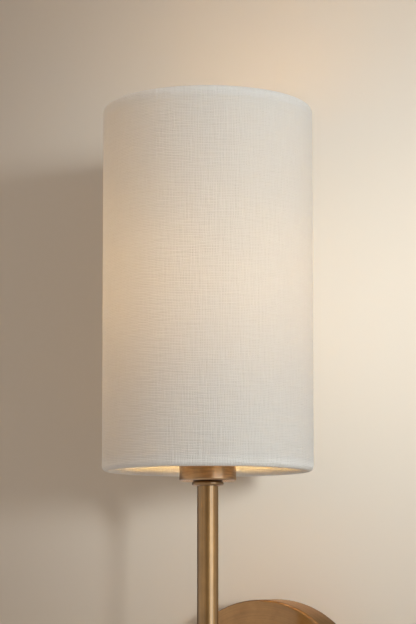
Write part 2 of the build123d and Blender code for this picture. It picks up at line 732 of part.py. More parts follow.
def spider_arms():
    """Three bent wires from the fitter ring down to the lower rim ring, welded at both ends."""
    wire_r = SPIDER_WIRE_D / 2
    start_r = FITTER_D / 2 - SPIDER_FOOT / 2
    under_z = FITTER_Z - wire_r
    foot_r = FITTER_D / 2 + SPIDER_FOOT
    path = [(start_r, 0, under_z), (foot_r, 0, under_z), (RIM_RING_R, 0, LOW_RIM_Z)]
    wire = round_wire(path, [SPIDER_BEND_R], SPIDER_WIRE_D)
    weld_seat = Torus(RIM_RING_R, RIM_WIRE_R + GLUE_GAP)
    below = Box(SHADE_D * 2, SHADE_D * 2, SHADE_D, align=(Align.CENTER, Align.CENTER, Align.MAX))
    wire -= Pos(0, 0, LOW_RIM_Z) * weld_seat
    wire -= Pos(0, 0, LOW_RIM_Z + SPIDER_WELD) * below
    turn = 360 / SPIDER_COUNT
    return [STEM_AXIS * Rot(0, 0, SPIDER_TURN + turn * index) * wire for index in range(SPIDER_COUNT)]


def shade_clamp_ring():
    """Fluted nut that screws down the skirt onto the fitter ring."""
    low = FITTER_Z + FITTER_T + SEAT_GAP
    bore_r = SKIRT_D / 2 + SLIDE_GAP
    outer_r = CLAMP_RING_D / 2
    ring = turned(
        (bore_r, low, 0),
        (outer_r, low, 0),
        (outer_r, low + CLAMP_RING_H, CLAMP_RING_EDGE_R),
        (bore_r, low + CLAMP_RING_H, 0),
    )
    flute_x = outer_r + CLAMP_RING_FLUTE_R - CLAMP_RING_FLUTE_DEPTH
    flute = Pos(flute_x, 0, 0) * rod(2 * CLAMP_RING_FLUTE_R, low - 1, low + CLAMP_RING_H + 1)
    for index in range(CLAMP_RING_FLUTES):
        ring -= Rot(0, 0, 360 / CLAMP_RING_FLUTES * index) * flute
    return STEM_AXIS * ring


# ---- bulb, drawn from its tip at height 0 ----------------------------------

BULB_PLACE = STEM_AXIS * Pos(0, 0, BULB_Z)


def glass_outline(inset):
    """Half outline of the glass, moved in by inset: neck, straight flank and round crown."""
    crown_r = BULB_D / 2 - inset
    centre_z = BULB_LEN - BULB_D / 2
    neck_r = BULB_CAP_D / 2 - BULB_CAP_WALL - GLUE_GAP - inset
    foot_z = BULB_SHELL_Z + BULB_CAP_H - GLASS_GRIP
    neck_z = BULB_SHELL_Z + BULB_CAP_H + GLASS_NECK_H
    from_centre = math.atan2(neck_z - centre_z, neck_r)
    touch = from_centre + math.acos(crown_r / math.hypot(neck_r, neck_z - centre_z))
    touch_point = (crown_r * math.cos(touch), centre_z + crown_r * math.sin(touch))
    flank = FilletPolyline(
        (0, foot_z), (neck_r, foot_z), (neck_r, neck_z), touch_point, radius=[0, GLASS_NECK_FILLET]
    )
    crown = CenterArc((0, centre_z), crown_r, math.degrees(touch), 90 - math.degrees(touch))
    axis_line = Line((0, BULB_LEN - inset), (0, foot_z))
    return make_face([flank, crown, axis_line])


def bulb_envelope():
    """Blown glass, open at its foot inside the cap."""
    outside = revolve(Plane.XZ * glass_outline(0), Axis.Z)
    inside = revolve(Plane.XZ * glass_outline(GLASS_T), Axis.Z)
    return BULB_PLACE * (outside - inside)


def bulb_cap():
    high = BULB_SHELL_Z + BULB_CAP_H
    return BULB_PLACE * pipe(BULB_CAP_D, BULB_CAP_D - 2 * BULB_CAP_WALL, BULB_SHELL_Z, high)


def bulb_insulator():
    """Dark glass cone between the tip and the threaded shell."""
    tip_r = BULB_TIP_D / 2
    spigot_r = BULB_CAP_D / 2 - BULB_CAP_WALL - GLUE_GAP
    return BULB_PLACE * turned(
        (0, BULB_TIP_H, 0),
        (tip_r, BULB_TIP_H, 0),
        (BULB_CAP_D / 2, BULB_SHELL_Z, 0),
        (spigot_r, BULB_SHELL_Z, 0),
        (spigot_r, BULB_SHELL_Z + INSULATOR_SPIGOT, 0),
        (0, BULB_SHELL_Z + INSULATOR_SPIGOT, 0),
    )


def bulb_tip():
    return BULB_PLACE * turned(
        (0, 0, 0),
        (BULB_TIP_D / 2, 0, BULB_TIP_H / 2),
        (BULB_TIP_D / 2, BULB_TIP_H, 0),
        (0, BULB_TIP_H, 0),
    )


def bulb_driver():
    """Small power supply that stands on the insulator inside the cap."""
    low = BULB_SHELL_Z + INSULATOR_SPIGOT
    return BULB_PLACE * rod(DRIVER_D, low, low + DRIVER_H)


def bulb_stem():
    """Glass mount in the neck, with a disc under the filaments and one over them."""
    flange_r = BULB_CAP_D / 2 - BULB_CAP_WALL - 2 * GLUE_GAP - GLASS_T
    foot_z = BULB_SHELL_Z + BULB_CAP_H - GLASS_GRIP
    rod_r = BULB_STEM_D / 2
    foot_disc_r = FILAMENT_FOOT_R + FILAMENT_D
    head_disc_r = FILAMENT_HEAD_R + FILAMENT_D
    return BULB_PLACE * turned(
        (0, foot_z, 0),
        (flange_r, foot_z, 0),
        (flange_r, foot_z + DISC_T, 0),
        (rod_r, foot_z + flange_r, 2),
        (rod_r, FILAMENT_FOOT_Z - DISC_T, 0),
        (foot_disc_r, FILAMENT_FOOT_Z - DISC_T, 0),
        (foot_disc_r, FILAMENT_FOOT_Z, 0),
        (rod_r / 2, FILAMENT_FOOT_Z, 0),
        (rod_r / 2, BULB_STEM_TOP, 0),
        (head_disc_r, BULB_STEM_TOP, 0),
        (head_disc_r, BULB_STEM_TOP + DISC_T, 0),
        (0, BULB_STEM_TOP + DISC_T, 0),
    )


def bulb_filaments():
    """Leaning light sticks between the mount's two discs."""
    rise = BULB_STEM_TOP - FILAMENT_FOOT_Z
    lean = math.degrees(math.atan2(FILAMENT_FOOT_R - FILAMENT_HEAD_R, rise))
    tall = Cylinder(FILAMENT_D / 2, rise * 2)
    stick = Pos((FILAMENT_FOOT_R + FILAMENT_HEAD_R) / 2, 0, FILAMENT_FOOT_Z + rise / 2) * Rot(0, -lean, 0) * tall
    between = rod(BULB_D, FILAMENT_FOOT_Z + GLUE_GAP, BULB_STEM_TOP - GLUE_GAP)
    stick = stick & between
    turn = 360 / FILAMENT_COUNT
    return [BULB_PLACE * Rot(0, 0, turn * (index + 0.5)) * stick for index in range(FILAMENT_COUNT)]


PIECES = [
    canopy,
    wall_bracket,
    canopy_side_screws,
    terminal_block,
    terminal_tubes,
    clamp_screws,
    terminal_block_screw,
    earth_lug,
    earth_screw,
    arm_nipple,
    arm_washer,
    arm_nut,
    arm_collar,
    arm_tube,
    hub,
    hub_arm_nipple,
    hub_stem_nipple,
    hub_finial,
    stem_tube,
    stem_bead,
    cup,
    cup_washer,
    cup_nut,
    socket_spacer,
    socket_nipple,
    holder_cap,
    holder_grub_screw,
    holder_insert,
    holder_terminals,
    holder_terminal_screws,
    holder_screw_shell,
    holder_centre_contact,
    holder_skirt,
    live_wire,
    neutral_wire,
    earth_wire,
    shade_fabric,
    shade_liner,
    shade_top_ring,
    shade_bottom_ring,
    fitter_ring,
    spider_arms,
    shade_clamp_ring,
    bulb_envelope,
    bulb_cap,
    bulb_insulator,
    bulb_tip,
    bulb_driver,
    bulb_stem,
    bulb_filaments,
]

os.makedirs("parts", exist_ok=True)
for make in PIECES:
    made = make()
    shape = Compound(made) if isinstance(made, list) else made
    export_step(shape, f"parts/{make.__name__}.step")
    print(f"{make.__name__:24s} {shape.volume:10.1f} mm3")
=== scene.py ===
# %% [markdown]
# # A wall light with a linen drum shade
#
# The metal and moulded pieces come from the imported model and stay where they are. This lesson gives each of
# them a finish made from nodes, makes the cloth of the shade and the small threads and screws as meshes of
# their own, and ends with a plain studio: a pale wall, a pale floor, soft lamps and one camera.

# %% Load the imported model
import math

import bmesh
import bpy
from mathutils import Matrix, Vector


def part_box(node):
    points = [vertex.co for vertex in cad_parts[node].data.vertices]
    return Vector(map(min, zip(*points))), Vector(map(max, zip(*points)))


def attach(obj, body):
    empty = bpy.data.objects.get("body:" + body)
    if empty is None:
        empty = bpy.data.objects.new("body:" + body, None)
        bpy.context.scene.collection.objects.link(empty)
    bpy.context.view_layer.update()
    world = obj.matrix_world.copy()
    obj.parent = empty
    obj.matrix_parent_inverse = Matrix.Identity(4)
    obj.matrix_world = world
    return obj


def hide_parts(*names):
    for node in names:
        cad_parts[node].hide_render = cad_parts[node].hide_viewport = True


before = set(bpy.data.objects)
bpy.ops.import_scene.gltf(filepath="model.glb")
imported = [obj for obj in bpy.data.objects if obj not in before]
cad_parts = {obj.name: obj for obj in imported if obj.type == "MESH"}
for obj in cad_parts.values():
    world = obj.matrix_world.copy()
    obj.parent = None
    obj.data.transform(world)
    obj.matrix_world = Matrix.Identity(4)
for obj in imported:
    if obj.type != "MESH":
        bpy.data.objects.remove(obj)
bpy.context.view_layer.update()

MM = 0.001

# %% [markdown]
# ## Helpers for finishes
#
# Blender mixes light in linear values, while a colour picked from a picture is sRGB. One function turns a hex
# code into what a shader wants. Another adds a node, sets its options, and fills or links its inputs. The
# short ones after it do sums, stretch a range, make noise of a real size and turn numbers into colours, so
# that every finish below reads as a short list of steps.

# %% Colours and nodes


def linear(code):
    """An sRGB hex colour as linear red, green, blue and alpha."""
    parts = [int(code[start : start + 2], 16) / 255 for start in (1, 3, 5)]
    return [p / 12.92 if p <= 0.04045 else ((p + 0.055) / 1.055) ** 2.4 for p in parts] + [1.0]


def add(tree, kind, inputs=None, **settings):
    """Adds one node: settings are its options, and each input is a value or a socket to link."""
    node = tree.nodes.new("ShaderNode" + kind)
    for name, value in settings.items():
        setattr(node, name, value)
    for name, value in (inputs or {}).items():
        if isinstance(value, bpy.types.NodeSocket):
            tree.links.new(value, node.inputs[name])
        else:
            node.inputs[name].default_value = value
    return node


def maths(tree, operation, *values):
    """One sum of numbers."""
    return add(tree, "Math", dict(enumerate(values)), operation=operation).outputs[0]


def vectors(tree, operation, *values):
    """One sum of vectors."""
    return add(tree, "VectorMath", dict(enumerate(values)), operation=operation).outputs[0]


def spread(tree, value, before=(0.0, 1.0), after=(0.0, 1.0)):
    """Stretches the range before to the range after, and cuts off what lies beyond."""
    ends = {"From Min": before[0], "From Max": before[1], "To Min": after[0], "To Max": after[1]}
    return add(tree, "MapRange", {"Value": value, **ends}).outputs[0]


def noise(tree, place, size, detail, roughness=0.5):
    """Noise whose largest spots have a real size."""
    inputs = {"Vector": place, "Scale": 1 / size, "Detail": detail, "Roughness": roughness}
    return add(tree, "TexNoise", inputs).outputs["Fac"]


def ramp(tree, factor, *stops):
    """Turns a factor into a colour that runs through stops, each a position and a hex code."""
    node = add(tree, "ValToRGB", {"Fac": factor})
    elements = node.color_ramp.elements
    elements[0].position, elements[0].color = stops[0][0], linear(stops[0][1])
    elements[1].position, elements[1].color = stops[-1][0], linear(stops[-1][1])
    for position, code in stops[1:-1]:
        elements.new(position).color = linear(code)
    return node.outputs["Color"]


def new_finish(name):
    """An empty material and its node tree."""
    material = bpy.data.materials.new(name)
    material.use_nodes = True
    material.node_tree.nodes.clear()
    return material, material.node_tree


def dress(material, *nodes):
    """Gives CAD nodes a material, and returns how many there were."""
    for node in nodes:
        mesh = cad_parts[node].data
        mesh.materials.clear()
        mesh.materials.append(material)
    return len(nodes)


print("linen white in linear light:", [round(value, 3) for value in linear("#F0EDE6")])

# %% [markdown]
# ## Antique bronze: brass that was turned or drawn, darkened and lacquered
#
# Stem, cup, bead and wall plate are brass with a brown patina under clear lacquer. A turned piece keeps fine
# rings from the lathe and a drawn tube keeps lines along its length, so the same metal needs two directions
# of brushing. A picture of brushing would stretch over round pieces. Noise that is squeezed across the lines
# and long along them does not, and it follows the piece because it reads the piece's own coordinates. The
# patina is a second, slow noise, and the lacquer is a thin clear coat that gives the pale highlights. The four
# bronzes differ in how dark the patina is, how rough the lacquer is and how much the lines differ in tone. The
# coat is roughest on the turned cup and hub, and smoothest on the rolled bead.

# %% Directions of brushing

STEM_AXIS = (0.0, -95 * MM, 0.0)
BRUSH_LINE = 0.55 * MM  # real lines are about 0.1 mm wide; this is as fine as the picture can show


def along_lines(tree, width, length):
    """Coordinates for lines that run up a tube: quick across it and slow along Z."""
    place = add(tree, "TexCoord").outputs["Object"]
    scale = (1 / width, 1 / width, 1 / length)
    return add(tree, "Mapping", {"Vector": place, "Scale": scale}, vector_type="POINT").outputs["Vector"], 0.0


def turned_lines(tree, width, length, centre, keep):
    """Coordinates for rings round an axis: keep is 1 across the axis and 0 along it."""
    place = add(tree, "TexCoord").outputs["Object"]
    local = vectors(tree, "SUBTRACT", place, centre)
    across = vectors(tree, "MULTIPLY", local, keep)
    radius = add(tree, "VectorMath", {0: across}, operation="LENGTH").outputs["Value"]
    axis = [1 - value for value in keep]
    height = add(tree, "VectorMath", {0: local, 1: axis}, operation="DOT_PRODUCT").outputs["Value"]
    turn = add(tree, "SeparateXYZ", {0: across})
    other = turn.outputs["Y"] if keep[1] else turn.outputs["Z"]
    quick_radius = maths(tree, "MULTIPLY", radius, 1 / width)
    quick_height = maths(tree, "MULTIPLY", height, 1 / width)
    slow_side = maths(tree, "MULTIPLY", turn.outputs["X"], 1 / length)
    slow_other = maths(tree, "MULTIPLY", other, 1 / length)
    return add(tree, "CombineXYZ", {0: quick_radius, 1: quick_height, 2: slow_side}).outputs[0], slow_other


# %% The bronze itself

PATINA_SPOT = 16 * MM
MIDDLE = (0.3, 0.7)  # most of a noise's values lie between these


def antique_bronze(name, lines, dark, light, across=0.0, lacquer=0.12, strong=0.24):
    """Patinated brass under lacquer, brushed along lines. across draws out its highlights over the lines
    of the lathe, lacquer is how rough the clear coat is, and strong is how much the lines differ in tone."""
    material, tree = new_finish(name)
    vector, fourth = lines(tree)
    brushing = add(
        tree, "TexNoise", {"Vector": vector, "W": fourth, "Scale": 1.0, "Detail": 3.0, "Roughness": 0.55},
        noise_dimensions="4D",
    ).outputs["Fac"]
    patina = noise(tree, add(tree, "TexCoord").outputs["Object"], PATINA_SPOT, 4.0, 0.6)
    base = ramp(tree, patina, (0.32, dark), (0.70, light))
    streak = spread(tree, brushing, MIDDLE, (1 - strong, 1 + 0.9 * strong))
    gloss = spread(tree, brushing, MIDDLE, (0.44, 0.32))
    relief = add(tree, "Bump", {"Height": brushing, "Strength": 0.16, "Distance": 0.05 * MM})
    shader = add(
        tree,
        "BsdfPrincipled",
        {
            "Base Color": vectors(tree, "MULTIPLY", base, streak),
            "Metallic": 1.0,
            "Roughness": gloss,
            "Coat Weight": 1.0,
            "Anisotropic": across,
            "Anisotropic Rotation": 0.25,
            "Coat Roughness": lacquer,
            "Coat IOR": 1.6,
            "Normal": relief.outputs[0],
        },
    )
    add(tree, "OutputMaterial", {"Surface": shader.outputs[0]})
    return material


upright_bronze = antique_bronze(
    "antique_bronze_drawn", lambda tree: along_lines(tree, BRUSH_LINE, 45 * MM), "#7D5C30", "#8F6C3D"
)
turned_bronze = antique_bronze(
    "antique_bronze_turned",
    lambda tree: turned_lines(tree, 1.4 * BRUSH_LINE, 8 * MM, STEM_AXIS, (1, 1, 0)),
    "#906E48", "#A48158", across=0.5, lacquer=0.18,
)
rolled_bronze = antique_bronze(
    "antique_bronze_rolled",
    lambda tree: turned_lines(tree, BRUSH_LINE, 12 * MM, STEM_AXIS, (1, 1, 0)),
    "#6E4F28", "#8F6A38", lacquer=0.06,
)
spun_bronze = antique_bronze(
    "antique_bronze_spun",
    lambda tree: turned_lines(tree, BRUSH_LINE, 30 * MM, (0, 0, 0), (1, 0, 1)),
    "#8A6235", "#9C7343", strong=0.09,
)
count = dress(upright_bronze, "stem_tube", "socket_spacer")
count += dress(turned_bronze, "cup", "hub", "hub_finial") + dress(rolled_bronze, "stem_bead")
count += dress(spun_bronze, "canopy", "arm_collar", "arm_tube", "canopy_side_screws")
print("bronze on", count, "nodes")

# %% [markdown]
# ## Plain metals: zinc, brass, tin and nickel
#
# The fittings inside are bright metals without patina. They differ in colour and gloss, and their surface is
# a fine mottle from plating, pressing or tumbling. One function makes them all from the size of that mottle.

# %% Plated and pressed metals

UNEVEN_GLOSS = 0.08


def mottled_metal(name, light, dark, spot, gloss):
    """A bright metal whose plating varies a little in colour and gloss over spots of a real size."""
    material, tree = new_finish(name)
    mottle = noise(tree, add(tree, "TexCoord").outputs["Object"], spot, 5.0, 0.65)
    relief = add(tree, "Bump", {"Height": mottle, "Strength": 0.12, "Distance": 0.04 * MM})
    shader = add(
        tree,
        "BsdfPrincipled",
        {
            "Base Color": ramp(tree, mottle, (0.30, dark), (0.65, light)),
            "Metallic": 1.0,
            "Roughness": spread(tree, mottle, MIDDLE, (gloss + UNEVEN_GLOSS, gloss)),
            "Normal": relief.outputs[0],
        },
    )
    add(tree, "OutputMaterial", {"Surface": shader.outputs[0]})
    return material


zinc_steel = mottled_metal("zinc_plated_steel", "#C4C8CA", "#9DA2A6", 2.5 * MM, 0.34)
plain_brass = mottled_metal("pressed_brass", "#D9B46A", "#B98F48", 3.0 * MM, 0.27)
tinned_copper = mottled_metal("tinned_copper", "#D2CFC6", "#AFA99B", 1.5 * MM, 0.33)
nickel_cap = mottled_metal("nickel_plated_cap", "#D4D1C8", "#B3AEA2", 2.0 * MM, 0.24)
count = dress(
    zinc_steel,
    "wall_bracket", "arm_nipple", "arm_washer", "arm_nut", "hub_arm_nipple", "hub_stem_nipple", "cup_washer",
    "cup_nut", "socket_nipple", "terminal_block_screw", "clamp_screws", "holder_terminal_screws",
    "holder_grub_screw", "earth_screw",
)
count += dress(
    plain_brass, "terminal_tubes", "holder_terminals", "holder_screw_shell", "holder_centre_contact"
)
count += dress(tinned_copper, "earth_lug") + dress(nickel_cap, "bulb_cap", "bulb_tip")
print("plain metals on", count, "nodes")

# %% [markdown]
# ## Mouldings, ceramic, wire insulation and paint
#
# These do not conduct and are not metallic: nylon, thermosetting resin, steatite, PVC and white powder coat.
# What the eye reads is gloss and grain: a mould leaves an even, slightly soft skin, ceramic has a dry speckle,
# powder coat has orange peel. The same short recipe takes the grain's real size, its depth and the gloss.

# %% Moulded, fired and coated surfaces

CLOUD = 14 * MM


def moulded(name, light, dark, grain, depth, gloss, coat=0.0):
    """A solid-coloured surface with a grain of a real size and depth."""
    material, tree = new_finish(name)
    place = add(tree, "TexCoord").outputs["Object"]
    skin, cloud = noise(tree, place, grain, 3.0), noise(tree, place, CLOUD, 2.0)
    relief = add(tree, "Bump", {"Height": skin, "Strength": 0.35, "Distance": depth})
    shader = add(
        tree,
        "BsdfPrincipled",
        {
            "Base Color": ramp(tree, cloud, (0.35, dark), (0.65, light)),
            "Roughness": spread(tree, skin, MIDDLE, (gloss - 0.04, gloss + 0.06)),
            "IOR": 1.5,
            "Coat Weight": coat,
            "Coat Roughness": 0.15,
            "Normal": relief.outputs[0],
        },
    )
    add(tree, "OutputMaterial", {"Surface": shader.outputs[0]})
    return material


block_nylon = moulded("moulded_nylon", "#EDE9DC", "#E0DAC8", 0.5 * MM, 0.02 * MM, 0.42)
holder_resin = moulded("moulded_white_resin", "#EFEBE2", "#E4DFD3", 0.6 * MM, 0.02 * MM, 0.36, coat=0.15)
steatite = moulded("fired_steatite", "#F2EEE5", "#E3DDCF", 0.35 * MM, 0.03 * MM, 0.55)
white_paint = moulded("white_powder_coat", "#F0EEE8", "#E6E3DB", 0.9 * MM, 0.03 * MM, 0.33, coat=0.2)
live_pvc = moulded("brown_pvc", "#6B3F26", "#5A3320", 0.4 * MM, 0.01 * MM, 0.38)
neutral_pvc = moulded("blue_pvc", "#3D74BE", "#3265A8", 0.4 * MM, 0.01 * MM, 0.38)
driver_resin = moulded("potting_resin", "#DEDCD2", "#C6C3B6", 0.8 * MM, 0.04 * MM, 0.55)
vitrite = moulded("black_vitrite_glass", "#1E1B1A", "#131110", 0.7 * MM, 0.01 * MM, 0.12, coat=0.4)
count = dress(block_nylon, "terminal_block") + dress(steatite, "holder_insert")
count += dress(holder_resin, "holder_cap", "holder_skirt", "shade_clamp_ring")
count += dress(white_paint, "shade_top_ring", "shade_bottom_ring", "fitter_ring", "spider_arms")
count += dress(live_pvc, "live_wire") + dress(neutral_pvc, "neutral_wire")
count += dress(driver_resin, "bulb_driver") + dress(vitrite, "bulb_insulator")
print("mouldings and coatings on", count, "nodes")

# %% [markdown]
# ## The earth wire's two colours
#
# An earth core is green with a yellow stripe along it, which winds slowly because the core is twisted as it is
# made. A wave that turns round the wire's own line would need that line. The wire lies nearly level here, so
# slanting bands with a little noise give the same reading.

# %% Green and yellow insulation


def striped_pvc(name, first, second, stripe):
    """Two-coloured insulation: bands of a real width, slightly uneven."""
    material, tree = new_finish(name)
    place = add(tree, "TexCoord").outputs["Object"]
    bands = add(
        tree,
        "TexWave",
        {"Vector": place, "Scale": 1 / (stripe * 2 * math.pi), "Distortion": 0.6, "Detail": 1.0},
        wave_type="BANDS",
        bands_direction="DIAGONAL",
    )
    colour = ramp(tree, bands.outputs["Fac"], (0.46, first), (0.54, second))
    shader = add(tree, "BsdfPrincipled", {"Base Color": colour, "Roughness": 0.38, "IOR": 1.53})
    add(tree, "OutputMaterial", {"Surface": shader.outputs[0]})
    return material


earth_pvc = striped_pvc("green_and_yellow_pvc", "#3E8F3A", "#E6D33A", 1.6 * MM)
print("striped insulation on", dress(earth_pvc, "earth_wire"), "node")

# %% [markdown]
# ## The lit bulb
#
# The envelope is blown glass, frosted inside so that it glows all over. Its light comes from four sticks of
# phosphor, which stand above the neck, so the neck is dimmer and warmer than the rest. An emissive surface is
# a lamp in Cycles, and most of the warm light on the shade is this glass, seen through the cloth. The falloff
# is a ramp up the bulb's own height, and the strength stays one number on the shader.

# %% Frosted glass, phosphor and the clear mount

GLOW = 13.2  # fitted to the lit linen of the picture
CHIP_PITCH = 1.2 * MM
bulb_foot, bulb_crown = (corner.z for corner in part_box("bulb_envelope"))


def frosted_glass():
    """White frosted glass that glows, least at its neck."""
    material, tree = new_finish("frosted_bulb_glass")
    place = add(tree, "TexCoord").outputs["Object"]
    height = add(tree, "SeparateXYZ", {0: place}).outputs["Z"]
    light = ramp(
        tree, spread(tree, height, (bulb_foot, bulb_crown)),
        (0.06, "#EBCE9E"), (0.30, "#F4D9AE"), (0.62, "#F6E0B9"), (0.85, "#FFE9BF"), (1.0, "#FFE9C4"),
    )
    etch = noise(tree, place, 0.5 * MM, 2.0)
    relief = add(tree, "Bump", {"Height": etch, "Strength": 0.1, "Distance": 0.01 * MM})
    shader = add(
        tree,
        "BsdfPrincipled",
        {
            "Base Color": linear("#F4EEDF"),
            "Roughness": 0.30,
            "IOR": 1.5,
            "Emission Color": light,
            "Emission Strength": GLOW,
            "Normal": relief.outputs[0],
        },
    )
    add(tree, "OutputMaterial", {"Surface": shader.outputs[0]})
    return material


def phosphor():
    """Silicone with yellow phosphor over the chips of a light stick."""
    material, tree = new_finish("yellow_phosphor")
    place = add(tree, "TexCoord").outputs["Object"]
    scale = 1 / (CHIP_PITCH * 2 * math.pi)
    chips = add(tree, "TexWave", {"Vector": place, "Scale": scale}, bands_direction="Z").outputs["Fac"]
    shader = add(
        tree,
        "BsdfPrincipled",
        {
            "Base Color": ramp(tree, chips, (0.0, "#E0A63A"), (1.0, "#F3C659")),
            "Roughness": 0.5,
            "Emission Color": linear("#FFD08A"),
            "Emission Strength": 1.5,
        },
    )
    add(tree, "OutputMaterial", {"Surface": shader.outputs[0]})
    return material


def clear_glass():
    """Pressed clear glass with a few faint streaks."""
    material, tree = new_finish("clear_pressed_glass")
    streaks = noise(tree, add(tree, "TexCoord").outputs["Object"], 4 * MM, 1.0)
    relief = add(tree, "Bump", {"Height": streaks, "Strength": 0.1, "Distance": 0.05 * MM})
    shader = add(
        tree,
        "BsdfPrincipled",
        {
            "Base Color": linear("#F2F6F3"),
            "Roughness": 0.03,
            "IOR": 1.52,
            "Transmission Weight": 1.0,
            "Normal": relief.outputs[0],
        },
    )
    add(tree, "OutputMaterial", {"Surface": shader.outputs[0]})
    return material


count = dress(frosted_glass(), "bulb_envelope") + dress(phosphor(), "bulb_filaments")
count += dress(clear_glass(), "bulb_stem")
print("bulb glass from", round(bulb_foot / MM, 1), "to", round(bulb_crown / MM, 1), "mm, on", count, "nodes")

# %% [markdown]
# ## The liner: styrene sheet
#
# Inside the linen is a smooth sheet of milky styrene that keeps the shade round. It lets about half of the
# light through, and shows its satin face where one looks in from below. A Transparent shader mixed with a
# satin one does this, and lamps can shine straight through it, which a solid glass would block.

# %% Milky styrene

FACE_SHARE = 0.55


def milky_styrene():
    """Translucent sheet: half see-through, with a satin milky face."""
    material, tree = new_finish("milky_styrene")
    cloud = noise(tree, add(tree, "TexCoord").outputs["Object"], 6 * MM, 3.0)
    milk = ramp(tree, cloud, (0.0, "#E9D5A4"), (1.0, "#F1E0B2"))
    face = add(tree, "BsdfPrincipled", {"Base Color": milk, "Roughness": 0.35, "IOR": 1.59})
    clear = add(tree, "BsdfTransparent", {"Color": linear("#FBF7EE")})
    mixed = add(tree, "MixShader", {0: FACE_SHARE, 1: clear.outputs[0], 2: face.outputs[0]})
    add(tree, "OutputMaterial", {"Surface": mixed.outputs[0]})
    return material


print("styrene on", dress(milky_styrene(), "shade_liner"), "node")

# %% [markdown]
# ## Linen
#
# The cloth is a plain weave: each thread passes over one and under the next, and linen yarn is uneven, with
# thick places called slubs that run along single threads. The pattern is worked out in millimetres on the flat
# cloth, which the mesh carries as a UV map: u runs round the shade and v runs up it, over the hems. Each
# crossing is a small bump. Each thread has its own random tone that changes slowly along it. Where threads are
# thin, more of the lamp shows through, so the same pattern drives how translucent the cloth is. At the hems
# the cloth lies in layers, and less of the lamp comes through.

# %% The weave in nodes

THREAD = 0.95 * MM  # shade linen has 0.6 to 0.9 mm between threads; finer than this does not show
SLUB = 14 * MM
WANDER = 16 * MM  # over this length a thread strays from its straight line
THROUGH, HEM_THROUGH = 0.20, 0.06  # share of light that one layer passes on, and the layers of a hem
SINGLE_FROM, LAYERED_TO = 6 * MM, 4 * MM  # distances from the shade's end; the change lies between them
STRAY = 1.6 * THREAD
TONE_WIDTH = 1.5 * THREAD
THICKNESS_COUNTS = 2.4  # how much a thread's thickness counts in the relief, against the weave's own rise
WEFT_SEED = 41.0


def thread_tone(tree, across, along, seed):
    """Noise that changes from thread to thread across them, and slowly along them."""
    quick = maths(tree, "MULTIPLY", across, 1 / TONE_WIDTH)
    slow = maths(tree, "MULTIPLY", along, 1 / SLUB)
    return noise(tree, add(tree, "CombineXYZ", {0: quick, 1: slow, 2: seed}).outputs[0], 1.0, 1.0, 0.4)


def crossing(tree, along):
    """The rise and fall of the cloth across threads, from -1 to 1."""
    return maths(tree, "SINE", maths(tree, "MULTIPLY", along, math.pi / THREAD))


def linen():
    """Plain-woven linen that lets some of the lamp through."""
    material, tree = new_finish("plain_woven_linen")
    flat = add(tree, "UVMap", uv_map="cloth").outputs["UV"]
    drift = add(tree, "TexNoise", {"Vector": flat, "Scale": 1 / WANDER, "Detail": 2.0}, noise_dimensions="2D")
    stray = vectors(tree, "SUBTRACT", drift.outputs["Color"], (0.5, 0.5, 0.5))
    stray = add(tree, "VectorMath", {0: stray, "Scale": STRAY}, operation="SCALE").outputs[0]
    axes = add(tree, "SeparateXYZ", {0: vectors(tree, "ADD", flat, stray)})
    u, v = axes.outputs["X"], axes.outputs["Y"]
    bump = maths(tree, "MULTIPLY", crossing(tree, u), crossing(tree, v))
    over = maths(tree, "GREATER_THAN", bump, 0.0)
    rise = maths(tree, "ABSOLUTE", bump)
    warp, weft = thread_tone(tree, u, v, 0.0), thread_tone(tree, v, u, WEFT_SEED)
    yarn = add(tree, "Mix", {0: over, 2: weft, 3: warp}, data_type="FLOAT").outputs[0]
    yarn = spread(tree, yarn, (0.32, 0.68))
    raised = maths(tree, "MULTIPLY_ADD", maths(tree, "ADD", warp, weft), THICKNESS_COUNTS, rise)
    tone = ramp(tree, yarn, (0.0, "#EAE6DE"), (1.0, "#F0EDE6"))
    # painted shade: the cloth is made up to 5 percent darker in the low places between thread crossings
    painted_shade_between_threads = spread(tree, rise, (0.0, 0.5), (0.95, 1.0))
    relief = add(tree, "Bump", {"Height": raised, "Strength": 1.0, "Distance": 0.18 * MM})
    face = add(
        tree,
        "BsdfPrincipled",
        {
            "Base Color": vectors(tree, "MULTIPLY", tone, painted_shade_between_threads),
            "Roughness": 0.85,
            "Specular IOR Level": 0.25,
            "Sheen Weight": 0.12,
            "Sheen Roughness": 0.5,
            "Normal": relief.outputs[0],
        },
    )
    glow = vectors(tree, "MULTIPLY", linear("#E7ECFF")[:3], spread(tree, yarn, after=(1.0, 0.88)))
    through = add(tree, "BsdfTranslucent", {"Color": glow})
    level = add(tree, "SeparateXYZ", {0: add(tree, "TexCoord").outputs["Object"]}).outputs["Z"]
    lower, upper = (corner.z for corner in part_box("shade_fabric"))
    from_middle = maths(tree, "ABSOLUTE", maths(tree, "SUBTRACT", level, (lower + upper) / 2))
    half = (upper - lower) / 2
    share = spread(tree, from_middle, (half - SINGLE_FROM, half - LAYERED_TO), (THROUGH, HEM_THROUGH))
    mixed = add(tree, "MixShader", {0: share, 1: face.outputs[0], 2: through.outputs[0]})
    add(tree, "OutputMaterial", {"Surface": mixed.outputs[0]})
    return material


linen_cloth = linen()
print("linen has", len(linen_cloth.node_tree.nodes), "nodes,", round(0.1 / THREAD), "threads to 10 cm")
